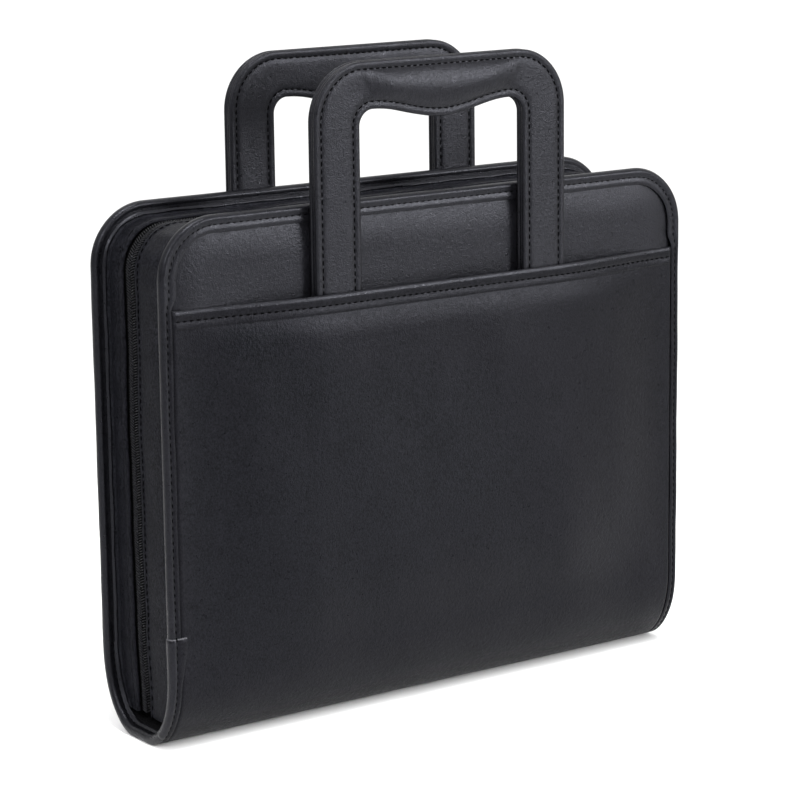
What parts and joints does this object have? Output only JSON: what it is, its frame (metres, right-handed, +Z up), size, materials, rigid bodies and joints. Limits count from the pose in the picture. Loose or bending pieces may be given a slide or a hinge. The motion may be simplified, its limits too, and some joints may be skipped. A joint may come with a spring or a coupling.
{
  "type": "zippered binder portfolio",
  "caption": "Soft black leather-look binder portfolio standing on its rounded spine, with bound covers, a zipped gusset, outside pockets and flat handles that slide down into them.",
  "frame": {"origin": "on the ground, below the middle of the rounded spine", "axes": "+X along the spine to the right of the front cover, -Y to the front cover, +Z up to the handles"},
  "size_m": [0.356, 0.095, 0.367],
  "materials": {
    "leather": "satin",
    "binding_leather": "satin",
    "handle_leather": "satin",
    "zip_cloth": "matte",
    "zip_nylon": "satin",
    "zip_metal": "satin"
  },
  "bodies": {
    "case": {"outer_wrap": "leather", "edge_binding": "binding_leather", "front_panel": "leather", "back_panel": "leather", "gusset_front": "leather", "gusset_back": "leather", "zip_tape": "zip_cloth", "zip_coil": "zip_nylon", "zip_slider": "zip_metal"},
    "front_handle": {"front_handle": "handle_leather"},
    "back_handle": {"back_handle": "handle_leather"}
  },
  "joints": [
    {"name": "front_handle_slide", "type": "slide", "parent": "case", "child": "front_handle", "axis": [0, 0, 1], "range_m": [-0.088, 0]},
    {"name": "back_handle_slide", "type": "slide", "parent": "case", "child": "back_handle", "axis": [0, 0, 1], "range_m": [-0.088, 0]}
  ]
}
